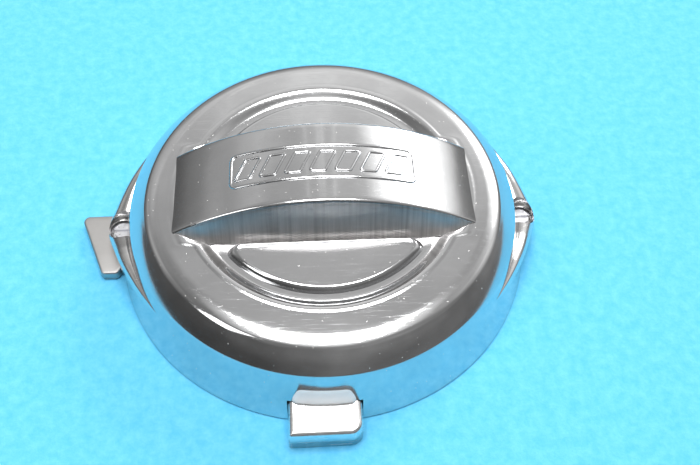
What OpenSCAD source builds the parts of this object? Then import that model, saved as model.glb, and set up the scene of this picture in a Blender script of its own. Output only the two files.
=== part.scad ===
// Flat-backed drum air filter housing: polished cast cover over a cast back
// plate that carries a pleated paper element on a centre stud.
// Z = 0 is the plane of the back face, the origin is on the drum's own axis,
// +Z points out through the cover and the two cover screws lie on X.

/* [Cover] */
// Radius of the cover's open edge
cover_r = 100; // [96:1:110]
// Radius of the sharp crease where the dome meets the skirt
crease_r = 92; // [88:0.5:94]
// Height of that crease above the back face
crease_z = 28.5; // [26:0.5:30]
// Radius at which the flat top turns into the shoulder
top_r = 79; // [76:0.5:81]
// Height of the flat top
top_z = 40.5; // [39:0.5:43]
// Wall thickness of the casting
wall = 3.2; // [2.4:0.1:3.6]
// Outer radius of the round groove in the top
groove_r = 66; // [62:0.5:68]
// Width of that groove
groove_w = 13; // [10:0.5:14]
// Depth of that groove
groove_d = 3; // [1.5:0.5:3]

/* [Raised bar] */
// Half width of the bar at its top edges
bar_half = 23; // [20:0.5:25]
// Height of the bar's crest above the back face
bar_z = 61; // [56:0.5:64]
// Radius of the bar's arched top
bar_arch_r = 125; // [110:1:140]
// Slope of the bar's long sides
bar_draft = 8; // [4:1:14]

/* [Ears] */
// Distance of each cover screw from the drum's axis
ear_x = 98.5; // [97:0.5:100]
// Radius of the ear's round tip
ear_tip_r = 6.6; // [6.4:0.1:8]
// Height of the ear's top at its tip
ear_tip_z = 15.5; // [14:0.5:18]
// Counterbore diameter for the screw head
counterbore_d = 11.4; // [11:0.1:11.8]
// Height of the seat at the foot of the counterbore
seat_z = 7.2; // [6.8:0.1:8]

/* [Back plate] */
// Thickness of the plate
plate_t = 4; // [3:0.5:5]
// Thickness of the ear lugs and of the side tab
lug_t = 5.4; // [4.5:0.1:6]
// Radius of the intake bore
intake_r = 23; // [20:0.5:25]
// Pitch circle of the carburettor flange's holes
flange_pcd = 64; // [60:1:68]
// Number of flange holes
flange_n = 3; // [3:1:4]
// Diameter of the flange holes
flange_hole_d = 6.6; // [5.5:0.1:7]
// Number of air inlet windows
window_n = 6; // [4:2:8]

/* [Lower lug] */
// Width of the lug at the foot of the drum
foot_w = 33; // [26:0.2:34]
// Offset of that lug's middle along X
foot_x = -2.9; // [-5:0.1:0]
// Height of that lug
foot_z = 12.6; // [9:0.1:14]
// How far the lug reaches from the axis
foot_reach = 111.2; // [108:0.1:114]

/* [Filter element] */
// Outer radius of the pleated paper
paper_out_r = 66; // [62:0.5:67]
// Inner radius of the pleated paper
paper_in_r = 41; // [39:0.5:44]
// Number of pleats
pleats = 60; // [36:1:72]
// Thickness of the foam sleeve
foam_t = 5.5; // [4:0.5:6]

/* [Hidden] */
$fn = 96;

// Small working gaps and overlaps
gap = 0.3;
over = 1;

// The flat top falls by this much from its centre to its edge
top_fall = 0.8;
// The shoulder leaves the flat top on a small radius, then runs to the crease
shoulder_r = 7;
shoulder_angle = 45;
// Slope of the dome where it meets the crease
crease_angle = 56;

// Half length and half width of the field that the bar stands on
field_x = 72;
field_y = 30;

ear_pad_r = 8.2;
ear_root_r = 94;
ear_root_z = 27;
// Tangent angle of the ear's straight sides
ear_angle = acos((ear_root_r - ear_tip_r) / ear_x);

plate_r = cover_r - wall - 2;
rim_r = 89.5;
rim_w = 2.2;
rim_z = 9;
// The ear pads pass through gaps of this width in the rim and its seal
rim_gap = 20;

screw_r = 2.5;
screw_head_r = 4.25;
screw_head_h = 3.3;
washer_t = 1;
insert_r = 3.2;
bore_gap = 0.05;

element_z = 5.5;
element_top = 29;
ring_t = 3;
core_r = 39;
core_t = 0.8;
screen_t = 0.6;

stud_r = 3;
stud_top = 50;
hub_r = 7;
bridge_z = 7;
bridge_t = 2;
hub_z = bridge_z + bridge_t;
arm_w = 5;
clamp_r = 60;
clamp_t = 1.5;
nut_z = element_top + clamp_t + 1.5;

seal_w = 4.2;
seal_z = lug_t + 0.1;
seal_h = 3;
dowel_r = 2;
dowel_y = -93.5;
dowel_top = 15.2;

window_in = 75.5;
window_out = 85.5;
window_angle = 360 / window_n - 18;
rivet_r = 1.5;
screen_h = 0.8;

// Points of an arc about c from angle a0 to a1, both measured from +Z towards +R
function arc(c, r, a0, a1, n = 8) =
  [for (i = [0:n]) let (a = a0 + (a1 - a0) * i / n) c + r * [sin(a), cos(a)]];

// Line of the top from a radius on the flat to the crease, pulled in by t
shoulder_c = [top_r - shoulder_r * sin(3), top_z - top_fall - shoulder_r];
dome_start = shoulder_c + shoulder_r * [sin(shoulder_angle), cos(shoulder_angle)];
function dome(t) = concat(
  arc(shoulder_c, shoulder_r - t, 3, shoulder_angle, 5),
  [[crease_r, crease_z] - t * [sin(crease_angle + 8), cos(crease_angle + 8)]]
);

// Groove in the flat top: two S-shaped sides with a narrow floor
function groove(t) = [
  [groove_r - groove_w - 1, top_z - t],
  [groove_r - groove_w + 1.5, top_z - 0.6 - t],
  [groove_r - groove_w + 3.5, top_z - groove_d + 0.6 - t],
  [groove_r - groove_w + 5.5, top_z - groove_d - t],
  [groove_r - 5, top_z - groove_d - t],
  [groove_r - 3.5, top_z - groove_d + 0.6 - t],
  [groove_r - 1.8, top_z - 0.8 - t],
  [groove_r, top_z - 0.3 - t]
];

module cover_skin(t, foot) {
  rotate_extrude()
    polygon(concat([[0, foot], [0, top_z - t]], groove(t), dome(t),
                   [[cover_r - t - 0.15 * sign(t), foot]]));
}

// Arched slab with sloping long sides
module bar_block(t, bottom) {
  foot_half = bar_half + (bar_z - bottom) * tan(bar_draft);
  intersection() {
    translate([0, bar_half + 20, bar_z - bar_arch_r])
      rotate([90, 0, 0])
        cylinder(r = bar_arch_r - t, h = 2 * bar_half + 40, $fn = 180);
    rotate([90, 0, 90])
      translate([0, 0, -top_r + t * 3])
        linear_extrude(2 * top_r - 6 * t)
          polygon([[-foot_half + t, bottom], [foot_half - t, bottom],
                   [bar_half - t, bar_z], [-bar_half + t, bar_z]]);
  }
}

// Plan of one ear on +X, grown by g
module ear_plan(g) {
  c = cos(ear_angle);
  s = sin(ear_angle);
  r0 = ear_root_r + g;
  r1 = ear_tip_r + g;
  polygon([[70, -30], [r0 * c, -r0 * s], [ear_x + r1 * c, -r1 * s],
           [ear_x + r1 * c, r1 * s], [r0 * c, r0 * s], [70, 30]]);
  translate([ear_x, 0])
    circle(r = r1);
}

module both_ears() {
  children();
  rotate([0, 0, 180])
    children();
}

// Solid ear whose top falls from the crease to the tip
module ear_solid() {
  intersection() {
    linear_extrude(crease_z)
      ear_plan(0);
    rotate_extrude()
      polygon([[60, 0], [120, 0], [120, ear_tip_z - 8], [ear_x + ear_tip_r, ear_tip_z],
               [(crease_r + ear_x + ear_tip_r) / 2, (ear_root_z + ear_tip_z) / 2 + 1],
               [crease_r, ear_root_z], [60, ear_root_z]]);
  }
}

// Box over the lower lug, grown by g on its sides
module foot_box(g, z0, z1, y_out, y_in) {
  translate([foot_x - foot_w / 2 - g, -y_out, z0])
    cube([foot_w + 2 * g, y_out - y_in, z1 - z0]);
}

module cover() {
  color("gainsboro")
  difference() {
    union() {
      difference() {
        union() {
          cover_skin(0, 0);
          both_ears() ear_solid();
          boss_outside();
        }
        cover_skin(wall, -over);
      }
      boss_inside();
      both_ears() ear_pad();
    }
    bar_field();
    both_ears() ear_cuts();
    translate([0, 0, -over])
      side_tab(0.6, lug_t + gap + over);
    foot_box(gap + 0.3, -over, foot_z + gap, 120, 80);
    translate([foot_x, dowel_y, 0])
      cylinder(r = dowel_r + bore_gap, h = dowel_top + 1);
  }
}

// Upright box over the oblong field of the flat top that the bar stands on
module bar_field() {
  translate([-field_x, -field_y, top_z - 12])
    cube([2 * field_x, 2 * field_y, 40]);
}

// Hollow bar with its field: one casting with the cover, kept apart from it so
// that each has a simple shape
module raised_bar() {
  color("gainsboro") {
    intersection() {
      difference() {
        union() {
          cover_skin(0, 0);
          bar_block(0, top_z - groove_d - 1);
        }
        cover_skin(wall, -over);
        bar_block(wall, top_z - groove_d - wall - 2);
      }
      bar_field();
    }
    bar_ornament();
  }
}

// Rounded shoulder that stands on the skirt above the lower lug
module boss_outside() {
  translate([-17.4, 0, 0])
    rotate([90, 0, 90])
      linear_extrude(28.2)
        polygon([[-85, foot_z], [-97.4, foot_z], [-97.4, 14.2], [-96.2, 16.4],
                 [-95, 19.1], [-94.4, 20.6], [-85, 20.6]]);
}

// Pad behind it that takes the dowel
module boss_inside() {
  intersection() {
    translate([foot_x, dowel_y, foot_z + gap])
      cylinder(r = 5, h = dowel_top + 2.6 - foot_z);
    cover_skin(0.5, 0);
  }
}

// Solid pad round each screw, inside the skirt
module ear_pad() {
  intersection() {
    translate([ear_x, 0, lug_t + gap])
      cylinder(r = ear_pad_r, h = 11.5);
    cover_skin(0, 0);
  }
}

module ear_cuts() {
  translate([ear_x, 0, seat_z])
    cylinder(d = counterbore_d, h = 30);
  translate([ear_x, 0, -over])
    cylinder(r = screw_r + 0.3, h = 30);
  translate([0, 0, -over])
    linear_extrude(lug_t + gap + over)
      ear_plan(0.6);
}

// Plain raised frame on the bar's crest
module bar_ornament() {
  frame_l = 86;
  frame_w = 20;
  line_w = 1.6;
  rise = 0.7;
  intersection() {
    translate([0, bar_half, bar_z - bar_arch_r])
      rotate([90, 0, 0])
        difference() {
          cylinder(r = bar_arch_r + rise, h = 2 * bar_half, $fn = 180);
          translate([0, 0, -over])
            cylinder(r = bar_arch_r - 1, h = 2 * bar_half + 2 * over, $fn = 180);
        }
    translate([0, 0, top_z])
      linear_extrude(bar_z)
        difference() {
          square([frame_l, frame_w], center = true);
          square([frame_l - 2 * line_w, frame_w - 2 * line_w], center = true);
        }
  }
}

// Outline with its corners rounded: each entry is [x, y, corner radius]
function fillet_points(p, n = 5) = [
  for (i = [0:len(p) - 1])
    let (
      b = [p[i][0], p[i][1]],
      a = let (q = p[(i + len(p) - 1) % len(p)]) [q[0], q[1]],
      c = let (q = p[(i + 1) % len(p)]) [q[0], q[1]],
      u = (a - b) / norm(a - b),
      v = (c - b) / norm(c - b),
      half = acos(u * v) / 2,
      m = (u + v) / norm(u + v),
      centre = b + m * p[i][2] / sin(half),
      s = b + u * p[i][2] / tan(half) - centre,
      e = b + v * p[i][2] / tan(half) - centre
    )
    for (k = [0:n])
      let (w = s * (1 - k / n) + e * k / n)
      centre + w * p[i][2] / norm(w)
];

// Flat tab that stands out from under the left ear, grown by g
module side_tab(g, h) {
  linear_extrude(h)
    polygon(fillet_points([[-121.8 - g, 13.9 + g, 3], [-108.4 - g, -21 - g, 3],
                           [-100.8 + g, -21 - g, 2.5], [-93 + 2 * g, -8 - g, 1],
                           [-93 + 2 * g, 13.9 + g, 1]]));
}

module lower_lug() {
  right = foot_x + foot_w / 2;
  left = foot_x - foot_w / 2;
  linear_extrude(foot_z)
    polygon(fillet_points([[left, -88, 0.5], [left, -foot_reach, 1],
                           [right, -foot_reach, 5], [right, -88, 0.5]]));
}

// One arc-shaped window cut, inner and outer radius and its angle
module ring_sector(r0, r1, angle, h) {
  rotate([0, 0, -angle / 2])
    rotate_extrude(angle = angle)
      translate([r0, 0])
        square([r1 - r0, h]);
}

module at_windows() {
  for (i = [0:window_n - 1])
    rotate([0, 0, (i + 0.5) * 360 / window_n])
      children();
}

module flange_holes(r, z0, h) {
  for (i = [0:flange_n - 1])
    rotate([0, 0, 90 + i * 360 / flange_n])
      translate([flange_pcd / 2, 0, z0])
        cylinder(r = r, h = h);
}

module back_plate() {
  color("darkgray")
  difference() {
    union() {
      cylinder(r = plate_r, h = plate_t);
      rim();
      rotate_extrude()
        translate([core_r - 3, 0])
          square([paper_out_r + 1 - core_r + 3, element_z]);
      ear_lugs();
      side_tab(0, lug_t);
      lower_lug();
      cylinder(r = intake_r + 3, h = bridge_z);
    }
    translate([0, 0, -over])
      cylinder(r = intake_r, h = 20);
    both_ears()
      translate([ear_x, 0, -over])
        cylinder(r = insert_r, h = 20);
    flange_holes(flange_hole_d / 2, -over, 20);
    at_windows()
      translate([0, 0, -over])
        ring_sector(window_in, window_out, window_angle, 12);
    translate([foot_x, dowel_y, 3])
      cylinder(r = dowel_r, h = 20);
    rotate_extrude()
      translate([intake_r + 2.6, -over])
        square([2.4, over + 1.9]);
    at_rivets()
      cylinder(r = rivet_r, h = 20);
  }
}

// Lugs under the ears, from the rim outwards
module ear_lugs() {
  difference() {
    both_ears()
      linear_extrude(lug_t)
        ear_plan(0);
    translate([0, 0, -over])
      cylinder(r = rim_r - rim_w / 2, h = lug_t + 2 * over);
  }
}

// Cuts for the ear pads through the rim and through its seal
module rim_gaps() {
  both_ears()
    translate([rim_r - 6, -rim_gap / 2, plate_t])
      cube([12, rim_gap, rim_z]);
}

module rim() {
  difference() {
    rotate_extrude()
      translate([rim_r - rim_w, 0])
        square([rim_w, rim_z]);
    rim_gaps();
  }
}

// Flat three-armed bridge on the intake's collar, staked down, that holds the stud
module stud_bridge() {
  color("silver")
  translate([0, 0, bridge_z])
    linear_extrude(bridge_t)
      difference() {
        union() {
          difference() {
            circle(r = intake_r + 3);
            circle(r = intake_r + 0.5);
          }
          for (i = [0:2])
            rotate([0, 0, 30 + i * 120])
              translate([hub_r - 2, -arm_w / 2])
                square([intake_r + 1.5 - hub_r + 2, arm_w]);
          circle(r = hub_r);
        }
        circle(r = stud_r);
      }
}

// Cheese-head screw standing on its washer
module cover_screw(x) {
  head_z = seat_z + washer_t;
  translate([x, 0, 0])
    difference() {
      union() {
        translate([0, 0, 0.6])
          cylinder(r = screw_r, h = head_z);
        translate([0, 0, head_z])
          cylinder(r = screw_head_r, h = screw_head_h);
      }
      translate([-screw_head_r - 1, -0.6, head_z + screw_head_h - 1.4])
        cube([2 * screw_head_r + 2, 1.2, 3]);
    }
}

module cover_washer(x) {
  translate([x, 0, seat_z])
    difference() {
      cylinder(r = 5, h = washer_t);
      translate([0, 0, -over])
        cylinder(r = screw_r + bore_gap, h = 5);
    }
}

module cover_screw_left() {
  color("whitesmoke") cover_screw(-ear_x);
}

module cover_screw_right() {
  color("whitesmoke") cover_screw(ear_x);
}

module cover_washer_left() {
  color("silver") cover_washer(-ear_x);
}

module cover_washer_right() {
  color("silver") cover_washer(ear_x);
}

module thread_inserts() {
  color("goldenrod")
  both_ears()
    translate([ear_x, 0, 0.2])
      difference() {
        cylinder(r = insert_r, h = lug_t - 0.2);
        translate([0, 0, -over])
          cylinder(r = screw_r + bore_gap, h = 20);
      }
}

// Two rubber strips round the rim, just inside the skirt, from ear pad to ear pad
module cover_seal() {
  color("dimgray")
  difference() {
    rotate_extrude()
      translate([rim_r, seal_z])
        square([seal_w, seal_h]);
    rim_gaps();
    foot_box(0.1, 0, foot_z, 120, 80);
  }
}

module locating_dowel() {
  color("silver")
  translate([foot_x, dowel_y, 3])
    cylinder(r = dowel_r, h = dowel_top - 3);
}

// Pleated ring: a star outline with a core of its own shape cut out
module paper_element() {
  color("khaki")
  translate([0, 0, element_z + ring_t])
    linear_extrude(element_top - element_z - 2 * ring_t)
      difference() {
        polygon(pleat_outline(paper_out_r - 0.1, paper_in_r + 1.2));
        polygon(pleat_outline(paper_out_r - 1.6, paper_in_r + 0.1));
      }
}

function pleat_outline(r_out, r_in) = [
  for (i = [0:2 * pleats - 1])
    let (r = i % 2 == 0 ? r_out : r_in, a = i * 180 / pleats)
    r * [cos(a), sin(a)]
];

module tube(r0, r1, z0, z1) {
  translate([0, 0, z0])
    difference() {
      cylinder(r = r1, h = z1 - z0);
      translate([0, 0, -over])
        cylinder(r = r0, h = z1 - z0 + 2 * over);
    }
}

module element_core() {
  color("silver")
  difference() {
    tube(core_r, core_r + core_t, element_z + ring_t, element_top - ring_t);
    for (i = [0:7])
      for (z = [13, 21.5])
        rotate([0, 0, i * 45 + z])
          translate([core_r - 3, 0, z])
            rotate([0, 90, 0])
              cylinder(r = 2.6, h = 8);
  }
}

module element_screen() {
  color("silver")
  tube(paper_out_r, paper_out_r + screen_t, element_z + ring_t, element_top - ring_t);
}

module element_top_ring() {
  color("darkorange")
  tube(core_r - 1.5, paper_out_r + 2, element_top - ring_t, element_top);
}

module element_bottom_ring() {
  color("darkorange")
  tube(core_r - 1.5, paper_out_r + 2, element_z, element_z + ring_t);
}

module foam_sleeve() {
  color("slategray")
  tube(paper_out_r + screen_t, paper_out_r + screen_t + foam_t,
       element_z + ring_t, element_top - ring_t);
}

module centre_stud() {
  color("silver")
  translate([0, 0, bridge_z])
    cylinder(r = stud_r, h = stud_top - bridge_z);
}

module hex_nut(z, flats, h) {
  translate([0, 0, z])
    difference() {
      cylinder(d = flats / cos(30), h = h, $fn = 6);
      translate([0, 0, -over])
        cylinder(r = stud_r, h = h + 2 * over);
    }
}

module stud_lock_nut() {
  color("silver") hex_nut(hub_z, 10, 3.2);
}

// Pressed plate that closes the element's top
module clamp_plate() {
  color("lightgray")
  rotate_extrude()
    polygon([[stud_r + 0.4, element_top], [clamp_r - 4, element_top],
             [clamp_r, element_top], [clamp_r, element_top + clamp_t],
             [stud_r + 0.4, element_top + clamp_t]]);
}

module clamp_washer() {
  color("silver")
  tube(stud_r + bore_gap, 8, element_top + clamp_t, nut_z);
}

module wing_nut() {
  color("silver")
  difference() {
    union() {
      translate([0, 0, nut_z])
        cylinder(r1 = 7, r2 = 5.2, h = 8);
      for (a = [0, 180])
        rotate([0, 0, a])
          translate([3.6, 1.3, nut_z])
            rotate([90, 0, 0])
              linear_extrude(2.6)
                polygon(fillet_points([[0, 1, 0.2], [2.5, 0.6, 0.2], [11.6, 7.5, 2.5],
                                       [11, 13.5, 2.5], [6.5, 12.5, 2.5], [0, 7, 0.2]]));
    }
    translate([0, 0, nut_z - over])
      cylinder(r = stud_r + bore_gap, h = 20);
  }
}

// Round cord that lies in the groove of the flange face
module flange_seal() {
  color("black")
  rotate_extrude()
    translate([intake_r + 3.8, 1])
      circle(r = 0.9, $fn = 24);
}

module inlet_screens() {
  color("gray")
  difference() {
    translate([0, 0, plate_t])
      at_windows()
        ring_sector(window_in - 3, rim_r - rim_w - 0.2, window_angle + 8, screen_h);
    at_rivets()
      cylinder(r = rivet_r, h = 20);
  }
}

// Places of the rivets that hold the screens
module at_rivets() {
  at_windows()
    for (a = [-1, 1])
      rotate([0, 0, a * (window_angle / 2 + 2)])
        translate([(window_in + window_out) / 2, 0, 0])
          children();
}

module screen_rivets() {
  color("silver")
  at_rivets() {
    translate([0, 0, 0.5])
      cylinder(r = rivet_r, h = plate_t + screen_h);
    translate([0, 0, plate_t + screen_h])
      cylinder(r1 = 2.4, r2 = 1.6, h = 1.2);
  }
}

cover();
raised_bar();
back_plate();
cover_screw_left();
cover_screw_right();
cover_washer_left();
cover_washer_right();
thread_inserts();
cover_seal();
locating_dowel();
paper_element();
element_core();
element_screen();
element_top_ring();
element_bottom_ring();
foam_sleeve();
centre_stud();
stud_bridge();
stud_lock_nut();
clamp_plate();
clamp_washer();
wing_nut();
flange_seal();
inlet_screens();
screen_rivets();
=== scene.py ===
import math

import bmesh
import bpy
import numpy as np
from mathutils import Matrix, Vector


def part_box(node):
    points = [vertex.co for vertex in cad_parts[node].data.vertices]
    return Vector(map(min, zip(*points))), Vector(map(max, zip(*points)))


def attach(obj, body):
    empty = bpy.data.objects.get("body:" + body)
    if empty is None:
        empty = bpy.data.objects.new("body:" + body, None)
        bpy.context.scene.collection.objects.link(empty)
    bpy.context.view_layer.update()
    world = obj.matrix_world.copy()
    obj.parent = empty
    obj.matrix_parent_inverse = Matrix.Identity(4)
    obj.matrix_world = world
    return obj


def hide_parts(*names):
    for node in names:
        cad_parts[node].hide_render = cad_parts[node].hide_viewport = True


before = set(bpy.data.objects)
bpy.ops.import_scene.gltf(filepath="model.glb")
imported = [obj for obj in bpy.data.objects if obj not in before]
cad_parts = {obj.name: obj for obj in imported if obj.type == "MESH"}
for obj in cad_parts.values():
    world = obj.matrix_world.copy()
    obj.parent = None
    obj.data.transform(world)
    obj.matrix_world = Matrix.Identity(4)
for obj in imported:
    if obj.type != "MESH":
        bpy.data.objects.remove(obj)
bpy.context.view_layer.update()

# ---------------------------------------------------------------------------
# Cover, turned part: a thick aluminium casting with a steep skirt, a crisp
# crease, a short dome and a flat top with a round trough, buffed to a mirror.
# Sizes here and below are in millimetres, turned to metres in new_piece.
# ---------------------------------------------------------------------------
BASE_R = 100.0
CREASE_R, CREASE_Z = 92.0, 28.5
TOP_R, TOP_Z, TOP_FALL = 76.2, 40.4, 0.75
SHOULDER_R, EDGE_R = 20.0, 6.0
WALL = 3.2
TROUGH_FLOOR_Z = 37.2
TROUGH_OUT_R = 66.0
PARTING_Z = 5.7
# The dome in section: degrees from upright where its broad arc starts, where the tight arc takes over and where
# that one ends; the turn (in radians) of the crease's outward direction; how far the last stretch bulges (R, z).
DOME_DEG = (2, 18, 46)
CREASE_TURN = 1.0
DOME_BULGE = np.array([0.72, 0.69]) * 0.3
N_TURN = 360


def new_piece(name, verts, faces, sharp_deg=32.0):
    """Mesh object from points in mm; faces are turned outwards by the sign of the enclosed volume."""
    verts = np.asarray(verts, float) * 0.001
    mesh = bpy.data.meshes.new(name)
    mesh.from_pydata(verts.tolist(), [], [list(map(int, f)) for f in faces])
    bm = bmesh.new()
    bm.from_mesh(mesh)
    bmesh.ops.remove_doubles(bm, verts=bm.verts, dist=1e-6)
    bmesh.ops.dissolve_degenerate(bm, edges=bm.edges, dist=1e-7)
    if bm.calc_volume(signed=True) < 0:
        bmesh.ops.reverse_faces(bm, faces=bm.faces)
    bm.to_mesh(mesh)
    bm.free()
    obj = bpy.data.objects.new(name, mesh)
    bpy.context.scene.collection.objects.link(obj)
    smooth(obj, sharp_deg)
    return obj


def smooth(obj, sharp_deg=32.0):
    """Smooth shading everywhere except at edges sharper than the given angle."""
    obj.data.shade_smooth()
    obj.data.set_sharp_from_angle(angle=math.radians(sharp_deg))


def grid_faces(n, m, wrap_n=False, wrap_m=False, first=0):
    """Quads of an n x m grid of points numbered row by row."""
    i, j = np.meshgrid(np.arange(n if wrap_n else n - 1), np.arange(m if wrap_m else m - 1), indexing="ij")
    a = i * m + j
    b = i * m + (j + 1) % m
    c = ((i + 1) % n) * m + (j + 1) % m
    d = ((i + 1) % n) * m + j
    return (np.stack([a, b, c, d], -1).reshape(-1, 4) + first).tolist()


def loft(name, rings, ends=True, wrap=False, sharp_deg=32.0):
    """Closed skin over a row of closed rings, shape (rings, points, 3), with a flat face at each end."""
    n, m, _ = rings.shape
    faces = grid_faces(n, m, wrap_n=wrap, wrap_m=True)
    if ends and not wrap:
        faces.append(list(range(m))[::-1])
        faces.append(list(range((n - 1) * m, n * m)))
    return new_piece(name, rings.reshape(-1, 3), faces, sharp_deg)


def arc_points(cr, cz, r, a0, a1, n):
    """Points (R, z) on an arc; angles are measured from +z towards +R, in degrees."""
    a = np.radians(np.linspace(a0, a1, n))
    return np.stack([cr + r * np.sin(a), cz + r * np.cos(a)], -1)


def crown(r):
    """Height of the flat top at radius r: a very shallow parabola, highest in the middle."""
    return TOP_Z - TOP_FALL * (r / TOP_R) ** 2


def dome_line(t):
    """Section of shoulder and dome pulled in by t: a broad arc, a tight one, then a slight bulge to the crease."""
    from_deg, join_deg, to_deg = DOME_DEG
    sin_a, cos_a, sin_b, cos_b = (f(math.radians(d)) for d in (from_deg, join_deg) for f in (math.sin, math.cos))
    cr, cz = TOP_R - SHOULDER_R * sin_a, crown(TOP_R) - SHOULDER_R * cos_a
    broad = arc_points(cr, cz, SHOULDER_R - t, from_deg, join_deg, 9)
    cr, cz = cr + (SHOULDER_R - EDGE_R) * sin_b, cz + (SHOULDER_R - EDGE_R) * cos_b
    tight = arc_points(cr, cz, EDGE_R - t, join_deg, to_deg, 9)[1:]
    start = tight[-1]
    end = np.array([CREASE_R, CREASE_Z]) - t * np.array([math.sin(CREASE_TURN), math.cos(CREASE_TURN)])
    s = np.linspace(0, 1, 10)[1:, None]
    return np.concatenate([broad, tight, start * (1 - s) + end * s + DOME_BULGE * 4 * s * (1 - s)])


def skirt_r(z):
    """Outer radius of the skirt at height z."""
    return BASE_R - (BASE_R - CREASE_R) * z / CREASE_Z


def s_curve(r0, z0, r1, z1, n):
    """Points from (r0, z0) to (r1, z1) on a smooth S, level at both ends."""
    s = np.linspace(0, 1, n)
    return np.stack([r0 + (r1 - r0) * s, z0 + (z1 - z0) * (s * s * (3 - 2 * s))], -1)


top_r = np.array([67.4, 68.4, 70, 72.5, 75])
outer = np.concatenate([
    [[r, TROUGH_FLOOR_Z] for r in (0, 30, 54, 57)],
    s_curve(58.2, TROUGH_FLOOR_Z, 64.6, crown(TROUGH_OUT_R) + 0.1, 16),
    s_curve(65.2, crown(TROUGH_OUT_R) + 0.18, 66.8, crown(66.8) - 0.02, 5),
    np.stack([top_r, crown(top_r)], -1),
    dome_line(0),
    [[CREASE_R + 0.09, CREASE_Z - 0.3]],
    [[skirt_r(z), z] for z in (24, 18, 12, 6, 2, 0.9)],
    [[BASE_R - 0.35, 0.3], [BASE_R - 0.8, 0.05], [BASE_R - 1.2, 0.0]],
])
inner = np.concatenate([
    [[BASE_R - WALL - 0.3, 0], [BASE_R - WALL - 0.4, 0.4]],
    [[skirt_r(z) - WALL, z] for z in (6, 12, 18, 24)],
    dome_line(WALL)[::-3],
    [[67, crown(67) - WALL]],
    [[r, TROUGH_FLOOR_Z - WALL] for r in (62, 30, 0)],
])
theta = np.arange(N_TURN) * 2 * math.pi / N_TURN
line = np.concatenate([outer, inner])
ring_r = np.repeat(line[None, :, 0], N_TURN, 0)
ring_z = np.repeat(line[None, :, 1], N_TURN, 0)
# Beside the bar the trough's outer lip swings outwards to meet the bar's corner: by FLARE in the bar's half width
# FLARE_Y, fading over FLARE_FADE; it grows from radius FLARE_R0 to the lip at FLARE_R1 and dies out at the shoulder.
FLARE, FLARE_Y, FLARE_FADE = 6.0, 30.5, 5.0
FLARE_R0, FLARE_R1, FLARE_RISE = 56.0, 67.4, 11.4
beside = np.clip((FLARE_Y - np.abs(TROUGH_OUT_R * np.sin(theta))) / FLARE_FADE, 0, 1)
flare = FLARE * beside ** 2 * (3 - 2 * beside)
growing, dying = (ring_r - FLARE_R0) / FLARE_RISE, (TOP_R - ring_r) / (TOP_R - FLARE_R1)
share = np.where(ring_r < FLARE_R0, 0, np.where(ring_r < FLARE_R1, growing, dying))
share[:, len(outer):] = 0
ring_r = ring_r + flare[:, None] * np.clip(share, 0, 1)
rings = np.stack([ring_r * np.cos(theta)[:, None], ring_r * np.sin(theta)[:, None], ring_z], -1)
dome = loft("cover_dome", rings, wrap=True, sharp_deg=24)


def at_height(plan, z):
    """Plan outline lifted to height z."""
    plan = np.asarray(plan, float)
    return np.column_stack([plan, np.full(len(plan), z)])


def prism(name, outline, z0, z1):
    """Straight-sided solid over a plan outline, from z0 to z1."""
    return loft(name, np.stack([at_height(outline, z0), at_height(outline, z1)]))


def box_plan(x0, x1, y0, y1):
    """Outline of a rectangular plan."""
    return [(x0, y0), (x1, y0), (x1, y1), (x0, y1)]


def cut(obj, tool, operation="DIFFERENCE", sharp_deg=32.0):
    """Exact solid cut (or join) of obj with tool; the tool is thrown away."""
    mod = obj.modifiers.new("cut", "BOOLEAN")
    mod.solver = "EXACT"
    mod.operation = operation
    mod.object = tool
    graph = bpy.context.evaluated_depsgraph_get()
    mesh = bpy.data.meshes.new_from_object(obj.evaluated_get(graph))
    obj.modifiers.clear()
    obj.data = mesh
    bpy.data.objects.remove(tool)
    smooth(obj, sharp_deg)
    return obj


def circle_plan(cx, cy, r, n=64):
    """Outline of a round plan."""
    a = np.arange(n) * 2 * math.pi / n
    return np.stack([cx + r * np.cos(a), cy + r * np.sin(a)], -1)


# Plan of the ear: two straight sides tangent to a round tip.
EAR_X, EAR_TIP_R, EAR_ROOT_R = 98.5, 6.5, 94.0
EAR_TURN = math.acos((EAR_ROOT_R - EAR_TIP_R) / EAR_X)
# The seat in the ear: a round scoop over the counterbore for the screw's head.
SCOOP_R, SCOOP_Z = 6.15, 12.6
BORE_R, BORE_Z = 5.55, 7.2


def ear_plan(side, grow=0.0, reach=60.0):
    """Ear outline on the side +1 or -1, grown by grow."""
    a = np.linspace(-EAR_TURN, EAR_TURN, 25)
    tip = np.stack([EAR_X + (EAR_TIP_R + grow) * np.cos(a), (EAR_TIP_R + grow) * np.sin(a)], -1)
    r0 = EAR_ROOT_R + grow
    low = np.array([[reach, -26], [r0 * math.cos(EAR_TURN), -r0 * math.sin(EAR_TURN)]])
    high = low[::-1] * [1, -1]
    plan = np.concatenate([low, tip, high])
    return plan if side > 0 else -plan


# The skirt is notched over the back plate's ears, lug and side tab, with a little room round each.
LUG_X0, LUG_X1, LUG_Z = -19.4, 13.6, 12.6
EAR_GAP, LUG_GAP, LUG_ROOF = 0.5, 0.15, 0.2
TAB_NOTCH = [(-122, 14.4), (-108.6, -21.6), (-100.2, -21.6), (-90, -10), (-90, 14.4)]
for side in (-1, 1):
    cut(dome, prism("tool", ear_plan(side, EAR_GAP, 90), -1, PARTING_Z))
cut(dome, prism("tool", box_plan(LUG_X0 - LUG_GAP, LUG_X1 + LUG_GAP, -120, -85), -1, LUG_Z + LUG_ROOF))
cut(dome, prism("tool", TAB_NOTCH, -1, PARTING_Z))
for side in (-1, 1):
    cut(dome, prism("tool", circle_plan(side * EAR_X, 0, SCOOP_R), SCOOP_Z, 45))
    cut(dome, prism("tool", circle_plan(side * EAR_X, 0, BORE_R), BORE_Z, 20))
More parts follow.
